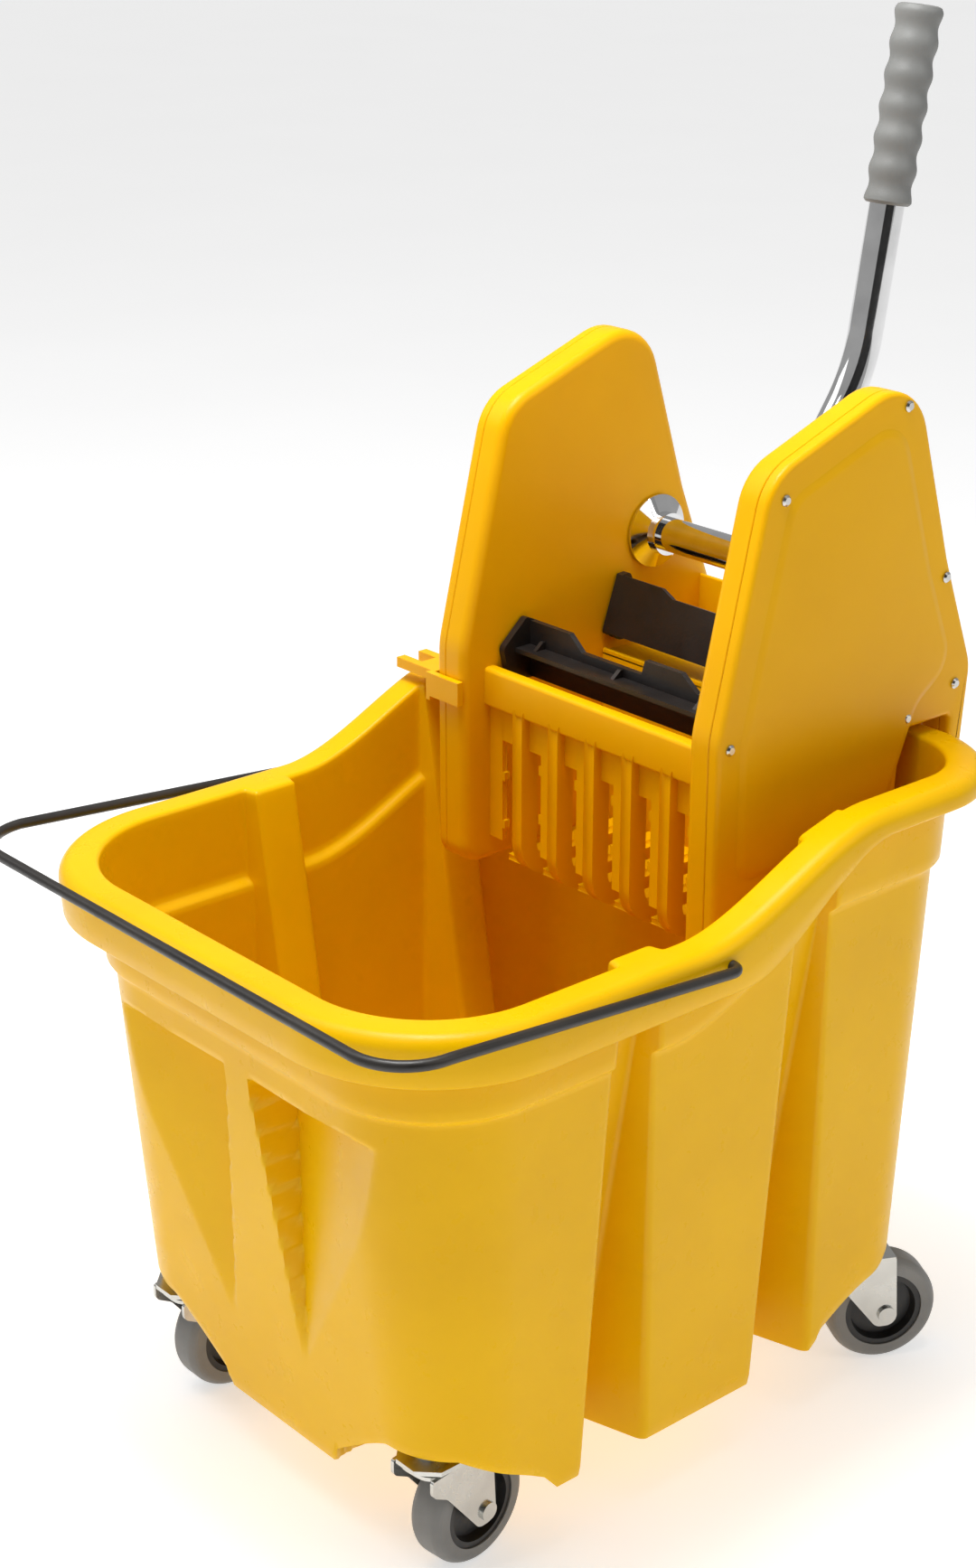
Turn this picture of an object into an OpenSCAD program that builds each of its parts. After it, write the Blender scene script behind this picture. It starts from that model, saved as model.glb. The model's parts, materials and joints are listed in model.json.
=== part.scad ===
// Wheeled mop bucket with a lift-off, gear-driven press wringer.
// Design frame: X across (0 is the mid plane), Y from the bail end (-Y) to the
// lever end (+Y) with Y = 0 at the rear face of the rim, Z up from the floor.
// place() then moves everything so that the origin is under the middle of the part.

/* [Bucket] */
// Length over the rim, front to back
bucket_len = 508; // [420:2:620]
// Width over the rim
bucket_w = 404; // [330:2:490]
// Height of the rim at the bail end
rim_front_z = 392; // [370:1:410]
// Height of the rim at the wringer end
rim_rear_z = 440; // [430:1:446]
// Height of the underside of the bucket above the floor
foot_z = 50; // [44:1:60]
// Wall thickness of the moulding
wall = 3.5; // [2.5:0.5:5]
// How far the rolled rim stands out from the wall
rim_overhang = 22; // [16:1:26]
// Height of the outer skirt of the rolled rim at the bail end
rim_skirt = 31; // [24:1:34]
// Height of the outer skirt at the wringer end
rear_skirt = 15; // [12:1:30]
// Corner radius of the wall at the bail end
corner_front = 85; // [50:1:95]
// Corner radius of the wall at the wringer end
corner_rear = 52; // [40:1:60]
// Height of the plain collar under the rim
collar_h = 66; // [50:1:80]
// Step from the collar in to the panels below
collar_step = 5; // [2:1:8]

/* [Side grooves and front panel] */
// Width of the floor of each vertical groove in the side walls
groove_w = 24; // [16:1:32]
// Depth of each groove at the underside of the bucket
groove_depth = 50; // [30:1:54]
// Depth of each groove near the top
groove_top_depth = 11; // [6:1:16]
// Distance from the front of the rim to the middle of the front groove
groove_front_y = 196; // [184:1:206]
// Distance from the rear of the rim to the middle of the rear groove
groove_rear_y = 166; // [160:1:174]
// Width of the front keel between the two hand recesses, at the top
keel_w = 24; // [20:1:60]
// Depth of the hand recesses in the front panel beside the keel
recess_depth = 31; // [16:1:34]

/* [Casters] */
// Wheel diameter
wheel_d = 76; // [60:1:80]
// Tread width
wheel_w = 25; // [20:1:30]
// Distance from the swivel axis back to the axle
trail = 30; // [24:1:32]
// Distance from the side of the rim in to the swivel axis
caster_side = 78; // [70:1:84]
// Distance from the front of the rim to the front swivel axes
caster_front = 83; // [76:1:90]
// Distance from the rear of the rim to the rear swivel axes
caster_rear = 70; // [66:1:76]
// Way the front right caster points at rest, turned from straight back
heading_front_right = 6; // [-180:1:180]
// Way the rear right caster points at rest, turned from straight back
heading_rear_right = -28; // [-180:1:180]
// Axle diameter
axle_d = 8; // [6:1:10]

/* [Bail] */
// Diameter of the coated wire
bail_d = 6.6; // [5:0.2:8]
// Distance from the front of the rim back to the bail pivots
bail_pivot_y = 244; // [220:1:250]
// How far the bail reaches beyond the front of the rim
bail_reach = 6; // [5:1:20]

/* [Wringer] */
// Clear width between the two gear housings
chamber_w = 204; // [160:2:250]
// Thickness of each gear housing
housing_t = 28; // [27:1:34]
// Wall thickness of the wringer mouldings
shell = 3; // [2.5:0.5:4]
// Height of the drive shaft
shaft_z = 526; // [520:1:532]
// Distance of the drive shaft in front of the rear of the rim
shaft_y = 36; // [32:1:40]
// Diameter of the drive shaft
shaft_d = 23; // [18:1:28]
// Depth of the mop chamber, front wall to back wall
chamber_len = 101; // [90:1:104]
// Height of the bottom grille
grille_z = 333; // [325:1:345]
// Height of the front wall of the basket
front_rail_z = 462; // [455:1:466]
// Centre distance of neighbouring grille ribs
rib_pitch = 34; // [28:1:40]

/* [Gears] */
// Gear module
gear_module = 3; // [3]
// Teeth on the full circle of the lever gear
lever_teeth = 24; // [24]
// Teeth on the full circle of the rear gear where the lever gear drives it
driven_teeth = 22; // [22]
// Teeth on the full circle where the rear and front gears mesh
pair_teeth = 31; // [31]
// Gear thickness
gear_t = 8; // [6:0.5:8.5]
// Travel of the lever
lever_travel = 72; // [60:1:72]

/* [Lever] */
// Diameter of the lever tube
lever_d = 23; // [20:1:25]
// Height of the top of the lever at rest
lever_top_z = 868; // [700:1:920]
// Lean of the lower part of the lever, back from upright
lean_low = 36; // [30:1:40]
// Lean of the upper part of the lever
lean_high = 10; // [5:1:15]
// Length of the hand grip
grip_len = 124; // [100:1:150]

/* [Fits] */
// Radial clearance of every running fit
run_fit = 0.06; // [0.02:0.01:0.1]
// Gap between parts that pass each other
gap = 1.5; // [1:0.5:2]

/* [Hidden] */
$fn = 64;
curve_fn = 48;

eps = 0.01;
yellow = [0.98, 0.78, 0.05];
amber = [0.96, 0.68, 0.05];

// Bucket wall, at the underside and at the highest point of the rim
side_taper = 13;
front_taper = 38;
rear_taper = 16;
half_top = bucket_w / 2 - rim_overhang;
half_foot = half_top - side_taper;
front_top = -bucket_len + rim_overhang;
front_foot = front_top + front_taper;
rear_top = -rim_overhang;
rear_foot = rear_top - rear_taper;
corner_foot = 58;

// The rim rises from the bail end to the wringer end between these two places
rise_start = -bucket_len + 223;
rise_end = -135;
skirt_start = -bucket_len + 258;
skirt_end = -130;
rim_steps = 24;

// Wheel wells round the casters
swing_r = trail + wheel_d / 2;
swivel_gap = 0.3;
well_r = swing_r + 3;
well_low_z = 60;
well_top_z = 94;
well_top_r = 26;

// Caster stack, downwards from the roof of the well
stem_r = 6.5;
stem_base_r = 10.5;
stem_len = 30;
plate_z = well_top_z - 7;
fork_top_z = plate_z - 5;
fork_t = 2.5;
leg_x = wheel_w / 2 + 2.5;
kingpin_r = 6;
hub_r = 27;
axle_r = axle_d / 2;

// Bail
bail_r = bail_d / 2;
bail_x = bucket_w / 2 + bail_r + 2;
bail_front = -bucket_len - bail_reach;
bail_y = -bucket_len + bail_pivot_y;
bail_z = rim_z(bail_y) - 14;
bail_corner = 36;
bail_rise = 17;

// Gear housings: inner face, seam between basket side and cover, outer face
face_in = chamber_w / 2;
seam_x = face_in + 18;
face_out = face_in + housing_t;
cover_t = face_out - seam_x;

// Gear centres as [Y, Z]
lever_r = gear_module * lever_teeth / 2;
driven_r = gear_module * driven_teeth / 2;
pair_r = gear_module * pair_teeth / 2;
shaft_c = [-shaft_y, shaft_z];
drive_dir = 240;
pair_dir = 186;
rear_c = shaft_c + (lever_r + driven_r) * [cos(drive_dir), sin(drive_dir)];
front_c = rear_c + 2 * pair_r * [cos(pair_dir), sin(pair_dir)];
plate_travel = lever_travel * lever_teeth / driven_teeth;
gear_x = face_in + shell + 1.5;
pin_len = 7;
backlash = 0.35;
pressure_angle = 20;

// Basket
chamber_back = rear_c[0] - 11.5;
chamber_front = chamber_back - chamber_len;
back_wall_z = rear_c[1] - 13.5;
shelf_z = rear_c[1] - 16.2;
rear_panel_z = 486;
hook_y = 4;

// Press plates
plate_end = face_in - gap;
hub_shaft_r = 9;
pin_r = 6;
plate_t = 4;
slab_y = 9;
front_low = 22;
front_high = 32;
rear_low = 29;
rear_high = 34;
rear_tilt = 19;

// Lever
lever_r2 = lever_d / 2;
low_dir = [sin(lean_low), cos(lean_low)];
high_dir = [sin(lean_high), cos(lean_high)];
low_len = 141;
bend_c = shaft_c + low_len * low_dir;
high_len = (lever_top_z - bend_c[1]) / high_dir[1];
grip_r = 15;

// Overall front and back, which put the origin under the middle
part_front = bail_front - bail_r;
part_rear = max([for (p = grip_profile())
    bend_c[0] + (high_len - grip_len + p[1]) * high_dir[0] + p[0] * high_dir[1]]);
shift_y = -(part_front + part_rear) / 2;

// ---------- helpers ----------

function unit(v) = v / norm(v);
function wrap(a) = a > 180 ? a - 360 : a < -180 ? a + 360 : a;
function heading(v) = atan2(v[1], v[0]);
function smooth(t) = t * t * (3 - 2 * t);
function clamp01(t) = min(1, max(0, t));

// One corner of an outline, rounded to radius r with an arc of n steps
function round_corner(a, b, c, r, n) =
    r <= 0 ? [b] :
    let (u = unit(a - b), w = unit(c - b), half = acos(u * w) / 2)
    let (centre = b + unit(u + w) * r / sin(half))
    let (p = b + u * r / tan(half), q = b + w * r / tan(half))
    let (a0 = heading(p - centre), sweep = wrap(heading(q - centre) - a0))
    [for (k = [0:n]) centre + r * [cos(a0 + sweep * k / n), sin(a0 + sweep * k / n)]];

// A closed outline given as [x, y, radius] corners
function rounded(v, n = 7) =
    let (m = len(v))
    [for (i = [0:m - 1])
        let (a = v[(i + m - 1) % m], b = v[i], c = v[(i + 1) % m])
        each round_corner([a[0], a[1]], [b[0], b[1]], [c[0], c[1]], b[2], n)];

// Height of the top of the rim at a place along the bucket
function rim_z(y) =
    rim_front_z + (rim_rear_z - rim_front_z) * smooth(clamp01((y - rise_start) / (rise_end - rise_start)));

// Height of the lower edge of the skirt round the rim
function skirt_z(y) =
    rim_front_z - rim_skirt + (rim_rear_z - rear_skirt - rim_front_z + rim_skirt)
        * smooth(clamp01((y - skirt_start) / (skirt_end - skirt_start)));

// Half angle that a gear tooth takes up at radius r
function inv_deg(a) = tan(a) * 180 / PI - a;
function tooth_half(r, pitch_r, teeth) =
    let (base_r = pitch_r * cos(pressure_angle))
    let (slope = acos(min(1, base_r / r)))
    90 / teeth - backlash / 2 / pitch_r * 180 / PI + inv_deg(pressure_angle) - inv_deg(slope);

// Wavy outside of the hand grip as [radius, height], with finger waves and a rounded top
function grip_profile() = [for (k = [0:48]) let (t = k / 48)
    [grip_r - 2 * clamp01(1 - (1 - t) * 20) + 0.8 * cos(360 * 6 * t), t * grip_len]];

module place() {
    translate([0, shift_y, 0]) children();
}

module along_x(x0, x1) {
    translate([x0, 0, 0]) rotate([90, 0, 90]) linear_extrude(height = x1 - x0) children();
}

module along_y(y0, y1) {
    translate([0, y1, 0]) rotate([90, 0, 0]) linear_extrude(height = y1 - y0) children();
}

module rod_x(x0, x1, r, c = [0, 0]) {
    translate([x0, c[0], c[1]]) rotate([0, 90, 0]) cylinder(h = x1 - x0, r = r);
}

module both_sides() {
    children();
    mirror([1, 0, 0]) children();
}

module on_side(side) {
    if (side < 0) mirror([1, 0, 0]) children();
    else children();
}

// ---------- bucket ----------

// Thin horizontal slice of the bucket wall, grown outwards by grow
module wall_slice(z, grow, half, front, rear, r_front, r_rear) {
    translate([0, 0, z]) linear_extrude(height = eps) polygon(rounded([
        [-half - grow, front - grow, r_front + grow],
        [half + grow, front - grow, r_front + grow],
        [half + grow, rear + grow, r_rear + grow],
        [-half - grow, rear + grow, r_rear + grow]
    ]));
}

// The tapered body of the bucket, grown outwards by grow, from height z0 up past the rim
module bucket_loft(grow, z0) {
    hull() {
        wall_slice(z0, grow, half_foot, front_foot, rear_foot, corner_foot, corner_foot - 12);
        wall_slice(rim_rear_z + 4, grow, half_top, front_top, rear_top, corner_front, corner_rear);
    }
}

// Everything below the rim line lowered by drop
module below_rim(drop) {
    along_x(-bucket_w, bucket_w) polygon(concat(
        [[100, -10], [-bucket_len - 100, -10]],
        [[-bucket_len - 100, rim_front_z - drop]],
        [for (k = [0:rim_steps])
            let (y = rise_start + (rise_end - rise_start) * k / rim_steps)
            [y, rim_z(y) - drop]],
        [[100, rim_rear_z - drop]]
    ));
}

// Everything below the lower edge of the skirt
module below_skirt() {
    along_x(-bucket_w, bucket_w) polygon(concat(
        [[100, -10], [-bucket_len - 100, -10]],
        [[-bucket_len - 100, rim_front_z - rim_skirt]],
        [for (k = [0:rim_steps])
            let (y = skirt_start + (skirt_end - skirt_start) * k / rim_steps)
            [y, skirt_z(y)]],
        [[100, rim_rear_z - rear_skirt]]
    ));
}

module caster_places() {
    for (sx = [-1, 1], y = [-bucket_len + caster_front, -caster_rear])
        translate([sx * (bucket_w / 2 - caster_side), y, 0]) children();
}

// Room that a caster swings in, grown by grow
module wheel_well(grow) {
    rotate_extrude() polygon([
        [0, -20], [well_r + grow, -20], [well_r + grow, well_low_z + grow / 2],
        [well_top_r + grow, well_top_z + grow], [0, well_top_z + grow]
    ]);
}

// Flared vertical grooves in both side walls, deepest at the foot, grown by grow
module side_grooves(grow) {
    foot_x = half_foot - collar_step - groove_depth;
    top_x = half_top - groove_top_depth;
    tilt = atan((top_x - foot_x) / (rim_front_z - foot_z));
    flare = 0.28;
    below = 20;
    for (y = [-bucket_len + groove_front_y, -groove_rear_y])
        both_sides() translate([foot_x - grow - below * tan(tilt), y, foot_z - below])
            rotate([0, tilt, 0]) linear_extrude(height = rim_rear_z) polygon([
                [0, -groove_w / 2 - grow], [0, groove_w / 2 + grow],
                [100, groove_w / 2 + grow + 100 * flare], [100, -groove_w / 2 - grow - 100 * flare]
            ]);
}

// Two wedge-shaped hand recesses in the front panel, either side of the keel
module hand_recesses(grow) {
    top_z = rim_front_z - 89;
    deep_y = front_foot - front_taper * (top_z - foot_z) / (rim_rear_z - foot_z) + collar_step + recess_depth;
    spread = 0.13;
    both_sides() intersection() {
        along_y(-bucket_len - 20, deep_y + 30) polygon([
            [keel_w / 2 - grow, top_z + grow], [half_foot, top_z + grow], [half_foot, foot_z + 50],
            [keel_w / 2 - grow + spread * (top_z - foot_z - 50), foot_z + 50]
        ]);
        translate([keel_w / 2, deep_y + grow, top_z]) rotate([-2.8, 0, -14.3])
            translate([-60, -100, -300]) cube([300, 100, 340]);
    }
}

// The slice of the grown bucket body between two lines that follow the rim
module rim_band(grow, top_drop, low_drop) {
    intersection() {
        bucket_loft(grow, foot_z);
        difference() {
            below_rim(top_drop);
            below_rim(low_drop);
        }
    }
}

// The rolled rim from its top, lowered by drop, to the lower edge of the skirt
module rim_roll(grow, drop) {
    intersection() {
        bucket_loft(grow, foot_z);
        difference() {
            below_rim(drop);
            translate([0, 0, -drop]) below_skirt();
        }
    }
}

// Collar and panels below it, with the side grooves running up behind the skirt
module bucket_walls() {
    difference() {
        union() {
            rim_band(0, 0, collar_h);
            intersection() {
                bucket_loft(-collar_step, foot_z);
                below_rim(collar_h - 1);
            }
        }
        intersection() {
            side_grooves(0);
            below_rim(8);
        }
    }
}

// Top of the rim and its outer skirt, hollow underneath
module rolled_rim() {
    difference() {
        rim_roll(rim_overhang, 0);
        rim_roll(rim_overhang - wall, wall);
    }
}

module bucket_outside() {
    difference() {
        union() {
            bucket_walls();
            rolled_rim();
        }
        caster_places() wheel_well(0);
        hand_recesses(0);
    }
}

module bucket_inside() {
    difference() {
        union() {
            bucket_loft(-collar_step - wall, foot_z + wall);
            difference() {
                bucket_loft(-wall, foot_z + wall);
                below_rim(collar_h - wall);
            }
        }
        caster_places() wheel_well(wall);
        side_grooves(wall);
        hand_recesses(wall);
        caster_places() cylinder(h = well_top_z + stem_len + 7, r = stem_r + 5);
    }
}

module bucket_shell() {
    color(yellow) difference() {
        bucket_outside();
        bucket_inside();
        caster_places() cylinder(h = well_top_z + stem_len + 2, r = stem_r);
        rod_x(-bucket_w, bucket_w, bail_r + run_fit, [bail_y, bail_z]);
    }
}

// ---------- bail ----------

module bail_handle() {
    color([0.12, 0.11, 0.10]) both_sides() {
        rod_x(bail_x - 16, bail_x, bail_r, [bail_y, bail_z]);
        translate([bail_x, bail_y, bail_z]) sphere(r = bail_r + 0.15);
        translate([bail_x, bail_front + bail_corner, bail_z + bail_rise]) sphere(r = bail_r + 0.15);
        reach = bail_y - bail_front - bail_corner;
        translate([bail_x, bail_y, bail_z]) rotate([90 - atan(bail_rise / reach), 0, 0])
            cylinder(h = norm([reach, bail_rise]), r = bail_r);
        translate([bail_x - bail_corner, bail_front + bail_corner, bail_z + bail_rise])
            rotate([0, 0, -90]) rotate_extrude(angle = 90) translate([bail_corner, 0]) circle(r = bail_r);
        rod_x(-eps, bail_x - bail_corner, bail_r, [bail_front, bail_z + bail_rise]);
    }
}

// ---------- casters, drawn at the swivel axis ----------

module caster_stem() {
    color([0.75, 0.76, 0.78]) {
        translate([0, 0, plate_z - 1]) cylinder(h = stem_len + 8, r = stem_r);
        translate([0, 0, plate_z - 1]) cylinder(h = well_top_z - plate_z + 1, r = stem_base_r);
        rotate([0, 0, 22.5]) translate([0, 0, plate_z - 3]) cylinder(h = 3, r = 21.5, $fn = 8);
        rotate_extrude() polygon([
            [0, fork_top_z], [15, fork_top_z], [17, fork_top_z + 1.2], [17, plate_z - 2.5], [0, plate_z - 2.5]
        ]);
        translate([0, 0, fork_top_z - fork_t - 3]) cylinder(h = fork_t + 3.5, r = kingpin_r);
        translate([0, 0, fork_top_z - fork_t - 4]) cylinder(h = 3.4, r1 = 7, r2 = 10);
    }
}

// Side outline of a fork leg as [Y, Z]
function fork_outline() = rounded([
    [-16, fork_top_z - swivel_gap, 2], [-16, fork_top_z - 11, 6], [-4, fork_top_z - 18, 10],
    [trail - 7, wheel_d / 2 - 9, 7.5], [trail + 8, wheel_d / 2 - 9, 7.5],
    [trail + 5, fork_top_z - swivel_gap, 2]
]);

module caster_fork() {
    bar_low = fork_top_z - swivel_gap - fork_t;
    color([0.70, 0.71, 0.73]) difference() {
        union() {
            both_sides() along_x(leg_x, leg_x + fork_t) polygon(fork_outline());
            translate([0, 0, bar_low]) linear_extrude(height = fork_t) polygon(rounded([
                [-leg_x - fork_t, -16, 13], [leg_x + fork_t, -16, 13],
                [leg_x + fork_t, trail + 5, 1], [-leg_x - fork_t, trail + 5, 1]
            ]));
        }
        translate([0, 0, bar_low - 1]) cylinder(h = fork_t + 2, r = kingpin_r + run_fit);
        rod_x(-leg_x - 5, leg_x + 5, axle_r, [trail, wheel_d / 2]);
    }
}

module caster_axle() {
    end_x = leg_x + fork_t;
    color([0.60, 0.61, 0.63]) {
        rod_x(-end_x, end_x, axle_r, [trail, wheel_d / 2]);
        rod_x(end_x, end_x + 2.2, axle_r + 2, [trail, wheel_d / 2]);
        translate([-end_x - 3.4, trail, wheel_d / 2]) rotate([0, 90, 0])
            cylinder(h = 3.4, r = axle_r + 2.6, $fn = 6);
    }
}

module wheel_hub() {
    half = wheel_w / 2;
    color([0.10, 0.10, 0.11]) translate([0, trail, wheel_d / 2]) rotate([0, 90, 0])
        rotate_extrude($fn = curve_fn) polygon([
            [axle_r + run_fit, -half - 1.5], [9, -half - 1.5], [10, -half + 7], [21.5, -half + 7],
            [23, -half + 1], [hub_r, -half + 1], [hub_r, half - 1], [23, half - 1],
            [21.5, half - 7], [10, half - 7], [9, half + 1.5], [axle_r + run_fit, half + 1.5]
        ]);
}

module tyre() {
    half = wheel_w / 2;
    rim = wheel_d / 2;
    color([0.55, 0.55, 0.55]) translate([0, trail, wheel_d / 2]) rotate([0, 90, 0])
        rotate_extrude($fn = curve_fn) polygon(rounded([
            [hub_r, -half, 0], [rim - 3, -half, 5], [rim, -half + 5, 5],
            [rim, half - 5, 5], [rim - 3, half, 5], [hub_r, half, 0]
        ], 3));
}

module at_caster(side, rear, heading = 0) {
    y = rear ? -caster_rear : -bucket_len + caster_front;
    translate([side * (bucket_w / 2 - caster_side), y, 0]) rotate([0, 0, heading]) children();
}

// ---------- wringer housings ----------

// Side outline of the gear housings as [Y, Z, corner radius]
notch_z = shelf_z - shell;
housing_points = [
    [-206, 325, 16], [-206, 478, 60], [-169, 632, 36], [-46, 677, 36], [-7, 552, 90],
    [22, 478, 34], [14, 388, 7], [hook_y, 388, 2], [hook_y, notch_z, 2],
    [-42, notch_z, 3], [-48, 325, 16]
];

// Cover screws as [Y, Z]; the last one sits over the gears, so its boss is short
screw_points = [[-158, 617], [-54, 656], [-9, 541], [6, 468], [-197, 473], [-39, 455]];
screw_r = 2;
screw_head_r = 3.5;
boss_r = 4.6;
screw_bite = 4;

module housing_outline(inset) {
    offset(delta = -inset) polygon(rounded(housing_points));
}

// The tub-shaped inner side of a housing: a floor against the chamber and a wall to the seam
module side_shell() {
    difference() {
        union() {
            difference() {
                along_x(face_in, seam_x) polygon(rounded(housing_points));
                along_x(face_in + shell, seam_x + 1) housing_outline(shell);
            }
            screw_bosses();
        }
        rod_x(face_in - 1, face_in + shell + 1, shaft_d / 2 + run_fit, shaft_c);
        rod_x(face_in - 1, face_in + shell + 1, hub_shaft_r + run_fit, rear_c);
        rod_x(face_in - 1, face_in + shell + 1, hub_shaft_r + run_fit, front_c);
        for (p = screw_points) rod_x(seam_x - screw_bite, seam_x + 1, screw_r, p);
    }
}

module screw_bosses() {
    short_x = gear_x + gear_t + 1;
    last = screw_points[5];
    intersection() {
        along_x(face_in, seam_x) polygon(rounded(housing_points));
        union() {
            for (k = [0:4]) rod_x(face_in + 1, seam_x, boss_r, screw_points[k]);
            rod_x(short_x, seam_x, boss_r, last);
            translate([short_x, last[0] - 3, notch_z]) cube([seam_x - short_x, 6, last[1] - notch_z]);
        }
    }
}

module grille_slots() {
    wide = rib_pitch * 0.32;
    count = floor((chamber_w / 2 - 8) / rib_pitch);
    for (k = [-count:count - 1]) {
        x = (k + 0.5) * rib_pitch - wide / 2 - 6;
        translate([x, chamber_front - 20, grille_z + 14]) cube([wide, 40, front_rail_z - grille_z - 56]);
        translate([x, chamber_front + 16, grille_z - 20]) cube([wide, chamber_len - 32, 40]);
    }
}

module grille_ribs() {
    count = floor((chamber_w / 2 - 8) / rib_pitch);
    outer = chamber_front - 3;
    for (k = [-count:count])
        along_x(k * rib_pitch - 4, k * rib_pitch + 4) polygon(rounded([
            [outer, front_rail_z - 26, 3], [outer, grille_z - 7, 22], [chamber_back, grille_z - 7, 0],
            [chamber_back, grille_z, 0], [chamber_front + 5, grille_z, 14], [chamber_front + 5, front_rail_z - 26, 0]
        ], 6));
}

// Front wall, bottom, back wall, shelf over the rim and rear panel as one folded section
module basket_section() {
    translate([chamber_front - 5, front_rail_z - 26]) square([5, 26]);
    translate([chamber_front, grille_z - 4]) square([4, front_rail_z - grille_z]);
    translate([chamber_front, grille_z - 4]) square([chamber_len, 4]);
    translate([chamber_back, grille_z - 4]) square([shell, back_wall_z - grille_z + 4]);
    translate([chamber_back, notch_z]) square([hook_y + 8 - chamber_back, shell]);
    translate([hook_y + 5, 392]) square([shell, rear_panel_z - 392]);
}

module wringer_basket() {
    color(amber) {
        both_sides() {
            side_shell();
        }
        difference() {
            union() {
                along_x(-face_in - 1, face_in + 1) basket_section();
                grille_ribs();
            }
            grille_slots();
        }
    }
}

// Outer cover of a housing with its raised panel, bearing bosses and screw holes
module housing_cover() {
    skin = face_out - shell;
    difference() {
        union() {
            difference() {
                along_x(seam_x, face_out - 1.6) polygon(rounded(housing_points));
                along_x(seam_x - 1, skin - 1.6) housing_outline(shell);
            }
            along_x(face_out - 2, face_out) intersection() {
                housing_outline(16);
                translate([-400, 380]) square([600, 400]);
            }
            for (p = screw_points) intersection() {
                along_x(seam_x, face_out - 1.6) polygon(rounded(housing_points));
                rod_x(seam_x, skin, boss_r, p);
            }
            for (c = [shaft_c, rear_c, front_c])
                rod_x(gear_x + gear_t + gap, skin, pin_r + 3.5, c);
        }
        for (p = screw_points) {
            rod_x(seam_x - 1, face_out + 1, screw_r + 0.3, p);
            rod_x(face_out - 1.6, face_out + 1, screw_head_r + 0.5, p);
        }
        for (c = [shaft_c, rear_c, front_c])
            rod_x(gear_x + gear_t, skin - 1.5, pin_r + run_fit, c);
    }
}

module left_housing_cover() {
    color(amber) mirror([1, 0, 0]) housing_cover();
}

module right_housing_cover() {
    color(amber) housing_cover();
}

module cover_screws() {
    for (p = screw_points) {
        rod_x(seam_x - screw_bite, face_out - 1.6, screw_r, p);
        translate([face_out - 1.6, p[0], p[1]]) rotate([0, 90, 0])
            rotate_extrude() polygon([
                [0, 0], [screw_head_r, 0], [screw_head_r, 1], [2.2, 2.2], [0, 2.2]
            ]);
    }
}

// Bracket that carries the front of the wringer on the side of the rim
hook_back = -159;

module rim_hook() {
    hook_z = rim_z(hook_back) + 0.5;
    arm_len = bucket_w / 2 - 6 - face_out;
    color(amber) difference() {
        union() {
            translate([face_in, -211, front_rail_z - 22]) cube([housing_t + 4, 4.6, 16]);
            translate([face_out + 0.4, -211, hook_z]) cube([3.6, hook_back + 211, front_rail_z - 6 - hook_z]);
            translate([face_out + 0.4, hook_back - 26, hook_z]) cube([arm_len, 26, 7]);
        }
        translate([bucket_w / 2 - 24, hook_back - 19, hook_z - 1]) cube([40, 12, 12]);
    }
}

// ---------- gears ----------

// Teeth of a gear sector as an outline about the gear centre
module sector_outline(teeth, phase, from, to) {
    r = gear_module * teeth / 2;
    step = 360 / teeth;
    root = r - 1.25 * gear_module;
    top = r + 0.9 * gear_module;
    base = max(root, r * cos(pressure_angle));
    flank = [for (k = [0:4]) base + (top - base) * k / 4];
    first = ceil((from - phase) / step);
    last = floor((to - phase) / step);
    polygon(concat([[0, 0]], [for (i = [first:last])
        let (mid = phase + i * step)
        each concat(
            [root * [cos(mid - step / 2), sin(mid - step / 2)]],
            [root * [cos(mid - tooth_half(base, r, teeth)), sin(mid - tooth_half(base, r, teeth))]],
            [for (f = flank) f * [cos(mid - tooth_half(f, r, teeth)), sin(mid - tooth_half(f, r, teeth))]],
            [for (k = [4:-1:0]) let (f = flank[k])
                f * [cos(mid + tooth_half(f, r, teeth)), sin(mid + tooth_half(f, r, teeth))]],
            [root * [cos(mid + tooth_half(base, r, teeth)), sin(mid + tooth_half(base, r, teeth))]],
            [root * [cos(mid + step / 2), sin(mid + step / 2)]]
        )]));
}

to_front = pair_dir;
to_rear = pair_dir - 180;
to_driven = drive_dir;
to_shaft = drive_dir - 180;

module lever_gear() {
    translate([0, shaft_c[0], shaft_c[1]]) difference() {
        union() {
            along_x(gear_x, gear_x + gear_t) sector_outline(lever_teeth, to_driven, to_driven - 16, to_driven + lever_travel + 16);
            rod_x(gear_x, gear_x + gear_t, 15);
        }
        rod_x(gear_x - 1, gear_x + gear_t + 1, pin_r + 2);
    }
}

module rear_gear() {
    small = to_shaft - 180 / driven_teeth;
    translate([0, rear_c[0], rear_c[1]]) {
        along_x(gear_x, gear_x + gear_t)
            sector_outline(driven_teeth, small, to_shaft - plate_travel - 10, to_shaft + 18);
        along_x(gear_x, gear_x + gear_t)
            sector_outline(pair_teeth, to_front, to_front - plate_travel - 9, to_front + 12);
        rod_x(gear_x, gear_x + gear_t, 13);
        rod_x(gear_x + gear_t, gear_x + gear_t + pin_len, pin_r);
    }
}

module front_gear() {
    phase = to_rear - 180 / pair_teeth;
    translate([0, front_c[0], front_c[1]]) {
        along_x(gear_x, gear_x + gear_t)
            sector_outline(pair_teeth, phase, to_rear - 12, to_rear + plate_travel + 9);
        rod_x(gear_x, gear_x + gear_t, 13);
        rod_x(gear_x + gear_t, gear_x + gear_t + pin_len, pin_r);
    }
}

// ---------- press plates ----------

// Face of a press plate in X and height, stepped along its free edge
module plate_face(low, high) {
    end = plate_end - 2;
    polygon([
        [-end, -6], [end, -6], [end, high - 3], [end - 8, high - 2], [70, low + 2], [58, low],
        [44, high], [12, high], [9, low], [-46, low], [-58, high], [-end, high]
    ]);
}

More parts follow.
